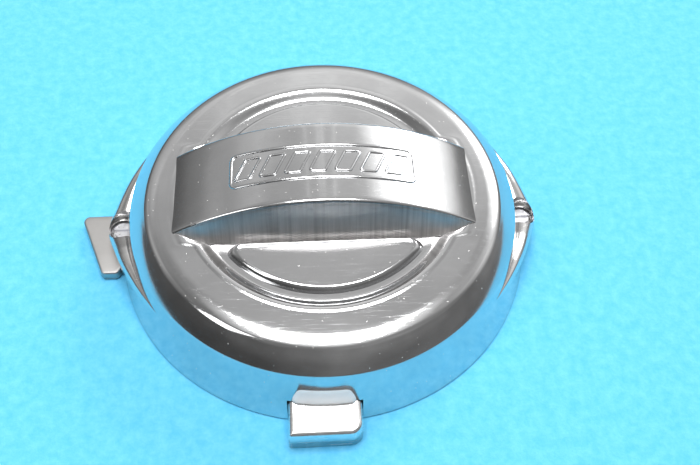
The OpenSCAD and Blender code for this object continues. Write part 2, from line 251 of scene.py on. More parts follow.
# The opening under the hollow bar.
cut(dome, prism("tool", box_plan(-58, 58, -19.5, 19.5), 30, 45), sharp_deg=24)

# ---------------------------------------------------------------------------
# Cover, raised bar: the hollow arched hand-hold cast across the flat top. Its
# crest is buffed to a mirror, its drafted long sides keep the linisher's grain.
# ---------------------------------------------------------------------------
BAR_Z, BAR_ARCH_R, BAR_HALF = 61.0, 125.0, 23.0
BAR_END_X, BAR_EDGE_R = 70.5, 1.5
BAR_ROOT_Z, BAR_FOOT_Z = 35.5, 38.0


def crest(x):
    """Height of the bar's arched crest."""
    return BAR_Z - BAR_ARCH_R + np.sqrt(BAR_ARCH_R ** 2 - x ** 2)


def bar_foot(x):
    """Half width of the bar at its foot: widest at the middle, closing in at the ends."""
    return BAR_HALF + np.minimum(5.9 - 1.9 * (x / 60) ** 2, np.maximum(crest(x) - 38.6, 0.1) * 0.62)


def bar_section(x, t):
    """Half section (y >= 0) at x, pulled in by t: root, sloping wall, small edge radius, level crest."""
    top, foot = crest(x) - t, bar_foot(x) - t
    half = BAR_HALF - t
    edge = max(BAR_EDGE_R - t * 0.4, 0.2)
    s = np.linspace(0, 1, 12)
    wall = np.stack([foot + (half - foot) * s ** 0.9, BAR_FOOT_Z + (top - edge - BAR_FOOT_Z) * s], -1)
    a = np.radians(np.linspace(8, 90, 7))
    corner = np.stack([half - edge + edge * np.cos(a), top - edge + edge * np.sin(a)], -1)
    flat = np.stack([np.array([0.92, 0.75, 0.5, 0.25, 0.0]) * (half - edge), np.full(5, top)], -1)
    return np.concatenate([[[foot, BAR_ROOT_Z]], wall, corner, flat])


s = np.linspace(-1, 1, 121)
bar_x = BAR_END_X * np.sign(s) * np.abs(s) ** 0.9
rings = []
for x in bar_x:
    out = bar_section(x, 0.0)
    inn = bar_section(x * 0.95, WALL)
    inn[:, 1] = np.minimum(inn[:, 1], out[:, 1] - 0.4)
    inn = np.where(np.arange(len(inn))[:, None] == 0, [[inn[0, 0], out[0, 1]]], inn)
    near = out * [-1, 1]
    loop = np.concatenate([near, out[::-1][1:], inn, (inn * [-1, 1])[::-1][1:]])
    rings.append(np.column_stack([np.full(len(loop), x), loop]))
bar = loft("cover_bar", np.array(rings), sharp_deg=28)

# ---------------------------------------------------------------------------
# Cover, pads: the two raised D-shaped fields inside the trough, one on each
# side of the bar, each with a rolled lip along its straight edge.
# ---------------------------------------------------------------------------
PAD_R, PAD_EDGE_Y = 56.2, 28.9
PAD_CORE, PAD_SINK = 8.0, 0.4
# Distances in from the outline at which the pad's skin has a ring of points, close together where it rises.
PAD_INSETS = [0, 0.25, 0.5, 0.8, 1.1, 1.4, 1.7, 2.0, 2.3, 2.6, 3.0, 3.5, 4.2, 5.5, PAD_CORE]
N_PAD_EDGE, N_PAD_CORNER, N_PAD_ARC = 81, 14, 141


def pad_outline(r, edge_y, corner):
    """D outline below the bar: arc of radius r, straight edge at -edge_y, rounded corners, equal counts for any size.

    The second result is 1 along the straight edge, 0 along the arc and runs between them at the corners.
    """
    yc = -edge_y - corner
    xc = math.sqrt((r - corner) ** 2 - yc ** 2)
    a_end = math.atan2(yc, xc)
    arc = np.linspace(a_end, -math.pi - a_end, N_PAD_ARC)
    big = np.stack([r * np.cos(arc), r * np.sin(arc)], -1)
    c1 = np.linspace(math.pi / 2, a_end, N_PAD_CORNER + 2)[1:-1]
    right = np.stack([xc + corner * np.cos(c1), yc + corner * np.sin(c1)], -1)
    c0 = np.linspace(-math.pi - a_end, -1.5 * math.pi, N_PAD_CORNER + 2)[1:-1]
    left = np.stack([-xc + corner * np.cos(c0), yc + corner * np.sin(c0)], -1)
    xs = np.linspace(-xc, xc, N_PAD_EDGE)
    edge = np.stack([xs, np.full(N_PAD_EDGE, -edge_y)], -1)
    fade = np.linspace(1, 0, N_PAD_CORNER)
    straight = np.concatenate([np.ones(N_PAD_EDGE), fade, np.zeros(N_PAD_ARC), np.linspace(0, 1, N_PAD_CORNER)])
    return np.concatenate([edge, right, big, left]), straight


pad_out, on_edge = pad_outline(PAD_R, PAD_EDGE_Y, 4.0)
pad_core, _ = pad_outline(PAD_R - PAD_CORE, PAD_EDGE_Y + PAD_CORE, 2.0)
rings = []
for d in PAD_INSETS:
    plan = pad_out + (pad_core - pad_out) * d / PAD_CORE
    top = crown(np.hypot(plan[:, 0], plan[:, 1])) + 0.05
    lift = top - TROUGH_FLOOR_Z + PAD_SINK
    # Round the arc the pad rises softly; along its straight edge it rises steeply to a rolled lip.
    rise = np.clip(d / 2.9, 0, 1)
    soft = TROUGH_FLOOR_Z - PAD_SINK + lift * rise ** 1.1 * (2.1 - 1.1 * rise)
    steep = np.clip(d / 1.3, 0, 1)
    lip = 0.55 * np.exp(-((d - 1.45) / 0.8) ** 2)
    wall = TROUGH_FLOOR_Z - PAD_SINK + lift * np.sin(steep * math.pi / 2) + lip
    z = soft * (1 - on_edge) + wall * on_edge
    rings.append(np.column_stack([plan, z]))
centre = pad_core.mean(0)
for k in (0.6, 0.3, 0.02):
    plan = centre + (pad_core - centre) * k
    rings.append(np.column_stack([plan, crown(np.hypot(plan[:, 0], plan[:, 1])) + 0.05]))
under = np.array(rings[0])
under[:, 2] = TROUGH_FLOOR_Z - 1.5
near_rings = np.array([under] + rings)
far_rings = near_rings * [-1, -1, 1]
pads = [loft("cover_pad_near", near_rings, sharp_deg=50), loft("cover_pad_far", far_rings, sharp_deg=50)]

# ---------------------------------------------------------------------------
# Cover, ears: a horn-shaped ridge on each side that runs round the skirt and
# carries the counterbored seat of one cover screw.
# ---------------------------------------------------------------------------
EAR_SPAN = 36.0
EAR_AZ = [0, 2, 4, 6, 9, 12, 15, 18.5, 22, 26, 30, 33, 36]
EAR_OUT_R = [105.0, 104.8, 104.0, 102.9, 101.4, 100.3, 99.2, 97.9, 96.8, 95.6, 94.6, 94.1, 93.75]
EAR_OUT_Z = [12.8, 12.9, 13.4, 14.6, 16.4, 17.6, 18.6, 19.4, 20.1, 20.9, 21.5, 21.8, 21.9]
EAR_ROOT_AZ = [0, 3.5, 6, 9, 12, 16, 20, 25, 30, 36]
EAR_ROOT_Z = [16.3, 16.9, 18.2, 19.8, 21.0, 22.1, 22.6, 22.6, 22.4, 21.9]
# Below its outer edge the horn's side goes straight down to the parting line: (step out, height).
EAR_SIDE = [(0.03, 13.0), (0.05, PARTING_Z + 0.3), (-0.25, PARTING_Z)]
# The screw's seat from the bottom up: the counterbore, then a flared scoop with a soft lip: (radius, height).
EAR_SEAT = [(BORE_R, BORE_Z), (BORE_R, 10.9), (5.7, 11.6), (6.0, 12.2), (6.5, 12.9), (7.1, 13.7), (7.6, 14.8),
            (7.8, 16.4), (7.9, 40)]
SCREW_HOLE_R = 2.8


def ear(name, side):
    """Horn on the side +1 or -1, thinning to nothing at both ends of its span.

    Across it, from the skirt outwards, come a thin valley, a gently falling face and a tight roll at the edge.
    """
    along = np.linspace(-1, 1, 141)
    az = np.sign(along) * np.abs(along) ** 1.1 * EAR_SPAN
    rings = []
    for deg in az:
        a = math.radians(deg)
        out_r = float(np.interp(abs(deg), EAR_AZ, EAR_OUT_R))
        out_z = float(np.interp(abs(deg), EAR_AZ, EAR_OUT_Z))
        root_z = float(np.interp(abs(deg), EAR_ROOT_AZ, EAR_ROOT_Z))
        root_r = skirt_r(root_z) - 0.2
        body = float(np.clip((out_r - root_r) / 7.0, 0.03, 1.0))
        w = 1 - (1 - np.linspace(0, 1, 30)) ** 1.8
        drop = 0.5 * w + 0.5 * w ** 7
        r = root_r + (out_r - root_r) * w
        swell, valley = 0.6 * np.sin(math.pi * w), 0.8 * np.exp(-(w / 0.08) ** 2)
        z = root_z - (root_z - out_z) * drop + body * (swell - valley)
        wall = [(max(out_r + g, skirt_r(h) - 0.9), h) for g, h in EAR_SIDE]
        back = [(skirt_r(h) - 2.0, h) for h in (PARTING_Z, 13.0, root_z - 2.0)]
        sec = np.concatenate([np.column_stack([r, z]), wall, back])
        rings.append(np.column_stack([sec[:, 0] * math.cos(a), sec[:, 0] * math.sin(a), sec[:, 1]]))
    rings = np.array(rings)
    if side < 0:
        rings = rings * [-1, -1, 1]
    horn = loft(name, rings, sharp_deg=40)
    cut(horn, prism("tool", circle_plan(side * 94.5, 0, 7.0), PARTING_Z + 0.03, 16.2), "UNION")
    unit = circle_plan(0, 0, 1.0, 72)
    seat = np.array([at_height(unit * r + [side * EAR_X, 0], z) for r, z in EAR_SEAT])
    cut(horn, loft("tool", seat))
    cut(horn, prism("tool", circle_plan(side * EAR_X, 0, SCREW_HOLE_R, 48), 0, 20), sharp_deg=38)
    return horn


ears = [ear("cover_ear_left", -1), ear("cover_ear_right", 1)]

# ---------------------------------------------------------------------------
# Cover, boss: the soft shoulder that grows out of the skirt above the lower
# lug and takes the locating dowel.
# ---------------------------------------------------------------------------
# Its middle line (radius, height) from the parting line up to where it runs out into the skirt, the x of its
# middle, its half width at the foot, how much narrower it is at the top, and the radius of its two sides.
BOSS_LINE = [(97.0, 13.0), (97.3, 13.2), (97.45, 13.6), (97.4, 14.2), (97.1, 14.9), (96.7, 15.6),
             (96.25, 16.4), (95.8, 17.3), (95.4, 18.2), (95.05, 19.1), (94.7, 19.9), (94.0, 21.0)]
BOSS_X, BOSS_HALF, BOSS_TAPER, BOSS_SIDE_R = -3.3, 14.3, 2.4, 3.0
# How deep its sides and its back lie under the skirt's surface.
BOSS_SINK, BOSS_BACK = 0.8, 1.7
bx = np.linspace(-1, 1, 61)
rings = []
for r, z in BOSS_LINE:
    half = BOSS_HALF - BOSS_TAPER * ((z - 13.0) / 8.0) ** 1.5
    x = BOSS_X + half * bx
    edge = np.clip((1 - np.abs(bx)) * half / BOSS_SIDE_R, 0, 1)
    round_off = np.sqrt(1 - (1 - edge) ** 2)
    off = -BOSS_SINK + (r - skirt_r(z) + BOSS_SINK) * round_off
    y = -np.sqrt((skirt_r(z) + off) ** 2 - x ** 2)
    back = -np.sqrt((skirt_r(z) - BOSS_BACK) ** 2 - x ** 2)
    front_and_back = np.column_stack([np.concatenate([x, x[::-1]]), np.concatenate([y, back[::-1]])])
    rings.append(at_height(front_and_back, z))
boss = loft("cover_boss", np.array(rings), sharp_deg=45)

# ---------------------------------------------------------------------------
# Cover, raised frame: a plain moulded border on the bar's crest with a row of
# slanting bars inside it, cast with the bar and buffed.
# ---------------------------------------------------------------------------
def crest_strip(name, centre_line, half_w, height):
    """Rounded bead along a closed line on the arched crest: a low arch across, swept along the line."""
    p = np.asarray(centre_line, float)
    t = np.roll(p, -1, 0) - np.roll(p, 1, 0)
    t /= np.linalg.norm(t, axis=1)[:, None]
    nrm = np.stack([-t[:, 1], t[:, 0]], -1)
    a = np.radians(np.linspace(0, 180, 9))
    across = np.cos(a) * half_w
    up = np.sin(a) ** 0.7 * height
    ring = []
    for i in range(len(p)):
        x = p[i, 0] + nrm[i, 0] * across
        y = p[i, 1] + nrm[i, 1] * across
        z = crest(x) + up
        low = crest(x[[-1, 0]]) - 0.6
        ring.append(np.column_stack([np.append(x, x[[-1, 0]]), np.append(y, y[[-1, 0]]), np.append(z, low)]))
    return loft(name, np.array(ring), wrap=True, sharp_deg=60)


def rounded(points, radius, step=1.5, n=5):
    """Closed outline through corner points with rounded corners and evenly cut straights."""
    p = np.asarray(points, float)
    out = []
    for i in range(len(p)):
        a, b, c = p[i - 1], p[i], p[(i + 1) % len(p)]
        u, v = (a - b) / np.linalg.norm(a - b), (c - b) / np.linalg.norm(c - b)
        half = math.acos(np.clip(u @ v, -1, 1)) / 2
        m = (u + v) / np.linalg.norm(u + v)
        centre = b + m * radius / math.sin(half)
        s0, s1 = b + u * radius / math.tan(half), b + v * radius / math.tan(half)
        for k in np.linspace(0, 1, n):
            w = (s0 - centre) * (1 - k) + (s1 - centre) * k
            out.append(centre + radius * w / np.linalg.norm(w))
        nxt_u = (b - c) / np.linalg.norm(b - c)
        d = p[(i + 2) % len(p)] - c
        nxt_half = math.acos(np.clip(nxt_u @ (d / np.linalg.norm(d)), -1, 1)) / 2
        e1 = c + nxt_u * radius / math.tan(nxt_half)
        count = max(int(np.linalg.norm(e1 - s1) / step), 1)
        for k in range(1, count):
            out.append(s1 + (e1 - s1) * k / count)
    return np.array(out)


# The frame's half length and half width, then each slanting bar's spacing, half width, the two ends of its foot
# from its middle, and how far it leans.
FRAME_X, FRAME_Y = 42, 9.2
SLAB_STEP, SLAB_Y, SLAB_OUT, SLAB_IN, SLAB_LEAN = 11.4, 5.6, 4.6, 2.6, 1.6
ornament = [crest_strip("crest_frame", rounded(box_plan(-FRAME_X, FRAME_X, -FRAME_Y, FRAME_Y), 3.0), 0.75, 0.6)]
for i in range(7):
    cx = (i - 3) * SLAB_STEP
    slab = [(cx - SLAB_OUT - SLAB_LEAN, -SLAB_Y), (cx + SLAB_IN - SLAB_LEAN, -SLAB_Y),
            (cx + SLAB_OUT + SLAB_LEAN, SLAB_Y), (cx - SLAB_IN + SLAB_LEAN, SLAB_Y)]
    ornament.append(crest_strip("crest_bar_%d" % (i + 1), rounded(slab, 0.9, 1.2, 4), 0.6, 0.55))

# ---------------------------------------------------------------------------
# Mirror-buffed aluminium: the finish of the whole cover. The base grey is
# clouded a little, fine hairlines and swirl marks catch the light, the buffed
# surface waves slightly, and grains of dust lie on it.
# ---------------------------------------------------------------------------
def group(name, inputs, outputs):
    """Empty shader node group with its (name, kind, default) inputs and (name, kind) outputs."""
    g = bpy.data.node_groups.new(name, "ShaderNodeTree")
    for label, kind, default in inputs:
        sock = g.interface.new_socket(name=label, in_out="INPUT", socket_type=kind)
        sock.default_value = default
    for label, kind in outputs:
        g.interface.new_socket(name=label, in_out="OUTPUT", socket_type=kind)
    return g, g.nodes.new("NodeGroupInput"), g.nodes.new("NodeGroupOutput")


def add(tree, kind, links=(), **values):
    """Node with its properties set, and its inputs linked to or filled from (input, source) pairs."""
    node = tree.nodes.new(kind)
    for key, value in values.items():
        setattr(node, key, value)
    for socket, source in links:
        if isinstance(source, bpy.types.NodeSocket):
            tree.links.new(source, node.inputs[socket])
        else:
            node.inputs[socket].default_value = source
    return node


def stretch(tree, value, lo, hi, out_lo=0.0, out_hi=1.0):
    """Clamped linear map of a value from lo..hi to out_lo..out_hi."""
    ends = [(1, lo), (2, hi), (3, out_lo), (4, out_hi)]
    return add(tree, "ShaderNodeMapRange", [(0, value), *ends]).outputs[0]


def math_node(tree, operation, a, b):
    """One math node."""
    return add(tree, "ShaderNodeMath", [(0, a), (1, b)], operation=operation).outputs[0]


# The marks are worked out in millimetres: long stretched noise for two sets of hairlines, broad noise for the
# clouds and for the waves of the buffed surface, and a few chosen cells of a fine cell pattern for the dust.
F, V = "NodeSocketFloat", "NodeSocketVector"
MM = 1000.0
MARKS = [("Scratches", F), ("Clouds", F), ("Dust", F), ("Waves", F)]
wear, w_in, w_out = group("handling_marks", [("Vector", V, (0, 0, 0))], MARKS)
pos = add(wear, "ShaderNodeVectorMath", [(0, w_in.outputs["Vector"]), (3, MM)], operation="SCALE").outputs[0]
long_a = add(wear, "ShaderNodeMapping", [(0, pos), (2, (0.3, 0.2, 0.5)), (3, (0.035, 2.2, 1.0))]).outputs[0]
long_b = add(wear, "ShaderNodeMapping", [(0, pos), (2, (0.1, 0.4, 2.0)), (3, (0.05, 1.8, 1.0))]).outputs[0]
fine_a = add(wear, "ShaderNodeTexNoise", [(0, long_a), (2, 1.6), (3, 2.0)]).outputs[0]
fine_b = add(wear, "ShaderNodeTexNoise", [(0, long_b), (2, 1.3), (3, 2.0)]).outputs[0]
lines = math_node(wear, "MAXIMUM", stretch(wear, fine_a, 0.62, 0.72), stretch(wear, fine_b, 0.64, 0.74))
wear.links.new(lines, w_out.inputs["Scratches"])
cloud = add(wear, "ShaderNodeTexNoise", [(0, pos), (2, 0.045), (3, 5.0), (4, 0.6)]).outputs[0]
wear.links.new(stretch(wear, cloud, 0.35, 0.7), w_out.inputs["Clouds"])
grain = add(wear, "ShaderNodeTexVoronoi", [(0, pos), (2, 0.42)], feature="F1")
speck = stretch(wear, grain.outputs["Distance"], 0.10, 0.06)
pick = add(wear, "ShaderNodeSeparateColor", [(0, grain.outputs["Color"])]).outputs[0]
dust = math_node(wear, "MULTIPLY", speck, stretch(wear, pick, 0.70, 0.76))
wear.links.new(dust, w_out.inputs["Dust"])
wave = add(wear, "ShaderNodeTexNoise", [(0, pos), (2, 0.11), (3, 2.0), (4, 0.5)]).outputs[0]
wear.links.new(wave, w_out.inputs["Waves"])


def marks_node(tree):
    """The marks group placed in a material, and the Object coordinates that it reads."""
    coord = add(tree, "ShaderNodeTexCoord").outputs["Object"]
    node = add(tree, "ShaderNodeGroup")
    node.node_tree = wear
    tree.links.new(coord, node.inputs["Vector"])
    return node, coord


def new_material(name):
    """Material with its Principled shader and node tree."""
    mat = bpy.data.materials.new(name)
    mat.use_nodes = True
    return mat, mat.node_tree, mat.node_tree.nodes["Principled BSDF"]


def mix(tree, factor, a, b):
    """Mix of two colours, a at factor 0 and b at factor 1."""
    return add(tree, "ShaderNodeMix", [(0, factor), (6, a), (7, b)], data_type="RGBA").outputs[2]


DUST_TONE = (0.85, 0.84, 0.8, 1)


def polished(name, colour, rough, wave_mm, dust_amount=1.0, grain_axis=None, metal=1.0):
    """Buffed aluminium: clouded grey under scratches, waves and dust.

    With grain_axis, the pattern's scale along x, y and z, it is a linished face with straight lines, darker towards
    the top.
    """
    mat, tree, shader = new_material(name)
    marks, coord = marks_node(tree)
    cloudy = mix(tree, marks.outputs["Clouds"], (*colour, 1), (*[c * 0.9 for c in colour], 1))
    dusty = math_node(tree, "MULTIPLY", marks.outputs["Dust"], dust_amount)
    skin = mix(tree, dusty, cloudy, DUST_TONE)
    bare = math_node(tree, "SUBTRACT", metal, math_node(tree, "MULTIPLY", dusty, metal))
    tree.links.new(bare, shader.inputs["Metallic"])
    base = stretch(tree, marks.outputs["Clouds"], 0, 1, rough, rough * 1.5)
    rough_sum = math_node(tree, "ADD", base, math_node(tree, "MULTIPLY", marks.outputs["Scratches"], 0.10))
    height = math_node(tree, "MULTIPLY", marks.outputs["Waves"], wave_mm)
    height = math_node(tree, "ADD", height, math_node(tree, "MULTIPLY", marks.outputs["Scratches"], -0.004))
    height = math_node(tree, "ADD", height, math_node(tree, "MULTIPLY", marks.outputs["Dust"], 0.02))
    if grain_axis is not None:
        squash = add(tree, "ShaderNodeMapping", [(0, coord), (3, grain_axis)]).outputs[0]
        grain_n = add(tree, "ShaderNodeTexNoise", [(0, squash), (2, 1.0), (3, 3.0), (4, 0.65)]).outputs[0]
        rough_sum = math_node(tree, "ADD", rough_sum, stretch(tree, grain_n, 0.3, 0.7, 0.0, 0.10))
        height_up = add(tree, "ShaderNodeSeparateXYZ", [(0, coord)]).outputs["Z"]
        streaks = stretch(tree, grain_n, 0.3, 0.7, 0.75, 1.1)
        # The face darkens towards the top: 1.05 of its tone at 40 mm high, down to 0.42 at 58 mm.
        top_darkening = math_node(tree, "MULTIPLY", streaks, stretch(tree, height_up, 0.040, 0.058, 1.05, 0.42))
        toned = [(0, 1.0), (6, skin), (7, top_darkening)]
        skin = add(tree, "ShaderNodeMix", toned, data_type="RGBA", blend_type="MULTIPLY").outputs[2]
        height = math_node(tree, "ADD", height, math_node(tree, "MULTIPLY", grain_n, 0.02))
    tree.links.new(skin, shader.inputs["Base Color"])
    tree.links.new(rough_sum, shader.inputs["Roughness"])
    bump = add(tree, "ShaderNodeBump", [("Height", height), ("Distance", 0.001), ("Strength", 1.0)])
    tree.links.new(bump.outputs[0], shader.inputs["Normal"])
    return mat


mirror = polished("mirror_buffed_alloy", (0.655, 0.66, 0.67), 0.08, 0.026)
linished = polished("linished_alloy", (0.68, 0.66, 0.65), 0.30, 0.02, 0.4, (700.0, 60.0, 10.0))
bright = polished("soft_buffed_alloy", (0.84, 0.84, 0.84), 0.2, 0.02)
horn_finish = polished("horn_alloy", (0.72, 0.715, 0.71), 0.14, 0.02)
# The boss's skin is near-white and almost non-metallic: a painted highlight standing in for the glare that the buffed
# boss catches.
boss_painted_highlight = polished("boss_painted_highlight_alloy", (0.97, 0.96, 0.95), 0.42, 0.02, metal=0.08)

bar.data.materials.append(mirror)
bar.data.materials.append(linished)
# The bar is linished where a face looks sideways and lies outside the crest.
SIDEWAYS, CREST_EDGE_Y = 0.7, 0.0215
side_on = np.array([abs(p.normal.y) > SIDEWAYS and abs(p.center.y) > CREST_EDGE_Y for p in bar.data.polygons])
bar.data.polygons.foreach_set("material_index", side_on.astype(np.int32))
# Ears take the horn finish, the boss its near-white painted-highlight finish, everything else the mirror.
for piece in [dome, *pads, *ears, boss, *ornament]:
    piece.data.materials.clear()
    piece.data.materials.append(boss_painted_highlight if piece is boss else horn_finish if piece in ears else mirror)
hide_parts("cover")
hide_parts("raised_bar")
for piece in [dome, bar, *pads, *ears, boss, *ornament]:
    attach(piece, "cover")

# ---------------------------------------------------------------------------
# Back plate: an aluminium casting. The disc is left as cast; the lug at the
# foot of the drum and the side tab show outside the cover and are buffed.
# ---------------------------------------------------------------------------
def cad_copy(node, name):
    """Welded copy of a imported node's mesh as a new piece."""
    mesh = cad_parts[node].data.copy()
    mesh.name = name
    bm = bmesh.new()
    bm.from_mesh(mesh)
    bmesh.ops.remove_doubles(bm, verts=bm.verts, dist=2e-6)
    bm.to_mesh(mesh)
    bm.free()
    obj = bpy.data.objects.new(name, mesh)
    bpy.context.scene.collection.objects.link(obj)
    smooth(obj, 14)
    return obj


def fillet_plan(corners, d=0.0, n=7, step=1.5):
    """Outline of (x, y, radius) corners, pulled in by d; every d gives the same number of points."""
    p = np.array([c[:2] for c in corners], float)
    area = np.sum(p[:, 0] * np.roll(p[:, 1], -1) - np.roll(p[:, 0], -1) * p[:, 1])
    if area < 0:
        p, corners = p[::-1], corners[::-1]
    e = np.roll(p, -1, 0) - p
    e /= np.linalg.norm(e, axis=1)[:, None]
    nrm = np.stack([-e[:, 1], e[:, 0]], -1)
    pulled = []
    for i in range(len(p)):
        m = nrm[i - 1] + nrm[i]
        pulled.append(p[i] + m * d / (m @ nrm[i]))
    arcs = []
    for i in range(len(p)):
        radius = max(corners[i][2] - d, 0.25)
        u, v = -e[i - 1], e[i]
        half = math.acos(np.clip(u @ v, -1, 1)) / 2
        centre = pulled[i] + (u + v) / np.linalg.norm(u + v) * radius / math.sin(half)
        s0, s1 = pulled[i] + u * radius / math.tan(half), pulled[i] + v * radius / math.tan(half)
        w = np.linspace(0, 1, n)[:, None]
        ray = (s0 - centre) * (1 - w) + (s1 - centre) * w
        arcs.append(centre + radius * ray / np.linalg.norm(ray, axis=1)[:, None])
    out = []
    for i in range(len(p)):
        out.append(arcs[i])
        a, b = arcs[i][-1], arcs[(i + 1) % len(p)][0]
        count = int(np.linalg.norm(p[(i + 1) % len(p)] - p[i]) / step)
        w = np.linspace(0, 1, count + 2)[1:-1, None]
        out.append(a * (1 - w) + b * w)
    return np.concatenate(out)


def rolled_block(name, corners, z0, z1, edge_r, draft):
    """Plate over an outline: small chamfer below, side leaning in by draft, quarter-round top edge, flat top."""
    steps = [(0.3, z0), (0.0, z0 + 0.3), (draft, z1 - edge_r)]
    for deg in (12, 24, 36, 48, 60, 72, 81, 90):
        a = math.radians(deg)
        steps.append((draft + edge_r * (1 - math.cos(a)), z1 - edge_r + edge_r * math.sin(a)))
    rows = [at_height(fillet_plan(corners, d), z) for d, z in steps]
    core = rows[-1][:, :2]
    rows += [at_height(core.mean(0) + (core - core.mean(0)) * k, z1) for k in (0.85, 0.5, 0.02)]
    return loft(name, np.array(rows), sharp_deg=50)


# The plate comes without its lug and tab, which are made again with rolled edges.
plate = cad_copy("back_plate", "plate_disc")
cut(plate, prism("tool", box_plan(-24, 18, -116, -90.3), -1, 14), sharp_deg=14)
tab_tool = prism("tool", box_plan(-126, -88, -32, 20), -1, 12)
cut(tab_tool, prism("tool", ear_plan(-1, 0.02), -2, 13))
cut(tab_tool, prism("tool", circle_plan(0, 0, 94.9, 256), -2, 13))
cut(plate, tab_tool, sharp_deg=14)
# Corners of the two outlines: (x, y, corner radius).
LUG_PLAN = [(LUG_X0, -89.5, 1), (LUG_X0, -111.2, 1.6), (LUG_X1, -111.2, 6), (LUG_X1, -89.5, 1)]
TAB_PLAN = [(-121.8, 13.9, 3.1), (-108.4, -21.0, 2.8), (-100.8, -21.0, 2.2), (-93.0, -8.0, 1), (-93.0, 13.9, 1)]
TAB_T = 5.4
lug = rolled_block("plate_lug", LUG_PLAN, 0.0, LUG_Z, 2.3, 0.35)
tab = rolled_block("plate_tab", TAB_PLAN, 0.0, TAB_T, 1.1, 0.1)
as_cast, tree, shader = new_material("as_cast_alloy")
marks, coord = marks_node(tree)
pebble = add(tree, "ShaderNodeTexNoise", [(0, coord), (2, 900.0), (3, 4.0), (4, 0.6)]).outputs[0]
skin = mix(tree, marks.outputs["Clouds"], (0.50, 0.50, 0.50, 1), (0.40, 0.40, 0.41, 1))
tree.links.new(skin, shader.inputs["Base Color"])
shader.inputs["Metallic"].default_value = 0.9
tree.links.new(stretch(tree, pebble, 0.3, 0.7, 0.38, 0.58), shader.inputs["Roughness"])
bump = add(tree, "ShaderNodeBump", [("Height", pebble), ("Distance", 0.00025), ("Strength", 0.7)])
tree.links.new(bump.outputs[0], shader.inputs["Normal"])
satin = polished("satin_tab_alloy", (0.50, 0.49, 0.48), 0.3, 0.03, 0.5)
plate.data.materials.clear()
plate.data.materials.append(as_cast)
lug.data.materials.append(bright)
tab.data.materials.append(satin)
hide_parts("back_plate")
for piece in (plate, lug, tab):
    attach(piece, "base")

# ---------------------------------------------------------------------------
# Inlet screens: woven wire stretched over each air window of the plate in a
# folded rim, held down by two rivets.
# ---------------------------------------------------------------------------
SCREEN_IN, SCREEN_OUT, SCREEN_HALF, SCREEN_Z = 72.5, 87.1, 25.0, 4.0
RIM_W, RIM_T = 1.3, 0.8
# Half the wire's thickness, the height of the mesh over the window's floor, its pitch, and the weave's rise.
WIRE, MESH_Z, MESH_PITCH, WEAVE = 0.22, 0.42, 1.35, 0.16
N_WIRES = 33


def wire(path, half):
    """Square wire of half thickness half along an open path of points (m, 3)."""
    t = np.gradient(path, axis=0)
    t /= np.linalg.norm(t, axis=1)[:, None]
    side = np.cross(t, [0, 0, 1.0])
    up = np.array([0, 0, 1.0])
    upper = [path + half * (side + up), path + half * (-side + up)]
    lower = [path - half * (side + up), path + half * (side - up)]
    return np.stack(upper + lower, 1)


def bundle(name, paths, half):
    """One mesh of many separate closed wires."""
    verts, faces, first = [], [], 0
    for path in paths:
        ring = wire(np.asarray(path, float), half)
        n = len(ring)
        verts.append(ring.reshape(-1, 3))
        faces += grid_faces(n, 4, wrap_m=True, first=first)
        faces += [list(range(first, first + 4))[::-1], list(range(first + 4 * n - 4, first + 4 * n))]
        first += 4 * n
    return new_piece(name, np.concatenate(verts), faces, 40)


paths = []
for i in range(6):
    mid = math.radians(30 + 60 * i)
    span = np.radians(np.linspace(-SCREEN_HALF + 1, SCREEN_HALF - 1, N_WIRES))
    for k, r in enumerate(np.arange(SCREEN_IN + 1.2, SCREEN_OUT - 0.8, MESH_PITCH)):
        ripple = WEAVE * np.where((np.arange(N_WIRES) + k) % 2 == 0, 1, -1)
        paths.append(np.column_stack([r * np.cos(mid + span), r * np.sin(mid + span), SCREEN_Z + MESH_Z + ripple]))
    for a in span:
        rr = np.linspace(SCREEN_IN + 0.6, SCREEN_OUT - 0.6, 3)
        spoke = np.column_stack([rr * math.cos(mid + a), rr * math.sin(mid + a)])
        paths.append(at_height(spoke, SCREEN_Z + MESH_Z))
screens = bundle("screen_wires", paths, WIRE)


def sector_frame(r0, r1, half_deg, width, z0, z1):
    """Rings of a flat rim round a ring sector: up its outer outline and down the inner one, pulled in by width."""
    def outline(d):
        a = np.radians(np.linspace(-1, 1, 41)) * (half_deg - math.degrees(d / r0))
        lo = np.stack([(r0 + d) * np.cos(a), (r0 + d) * np.sin(a)], -1)
        hi = np.stack([(r1 - d) * np.cos(a[::-1]), (r1 - d) * np.sin(a[::-1])], -1)
        return np.concatenate([lo, hi])
    out, inn = outline(0), outline(width)
    return np.array([at_height(p, z) for p, z in ((out, z0), (out, z1), (inn, z1), (inn, z0))])


def turned(points, deg):
    """Points turned about the drum's axis."""
    a = math.radians(deg)
    return points @ np.array([[math.cos(a), math.sin(a), 0], [-math.sin(a), math.cos(a), 0], [0, 0, 1]])


frames = []
for i in range(6):
    rows = sector_frame(SCREEN_IN, SCREEN_OUT, SCREEN_HALF, RIM_W, SCREEN_Z, SCREEN_Z + RIM_T)
    frames.append(loft("screen_rim_%d" % (i + 1), turned(rows, 30 + 60 * i), wrap=True, sharp_deg=30))

# ---------------------------------------------------------------------------
# Foam sleeve: an oiled open-cell foam tube pulled over the element. It bulges
# a little between the two end rings and its face is full of pores.
# ---------------------------------------------------------------------------
N_FOAM = 240
FOAM_WALL, FOAM_GAP, FOAM_BULGE = 5.5, 0.02, 0.9
foam_low, foam_high = (np.array(c) * 1000 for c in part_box("foam_sleeve"))
foam_r1, foam_r0 = foam_high[0], foam_high[0] - FOAM_WALL
rng = np.random.default_rng(7)
rows = []
turns = np.arange(N_FOAM) * 2 * math.pi / N_FOAM


def foam_row(r, t):
    """Ring of the tube's skin at radius r, at the share t of its height."""
    z = foam_low[2] + FOAM_GAP + (foam_high[2] - foam_low[2] - 2 * FOAM_GAP) * t
    return np.column_stack([r * np.cos(turns), r * np.sin(turns), np.full(N_FOAM, z)])


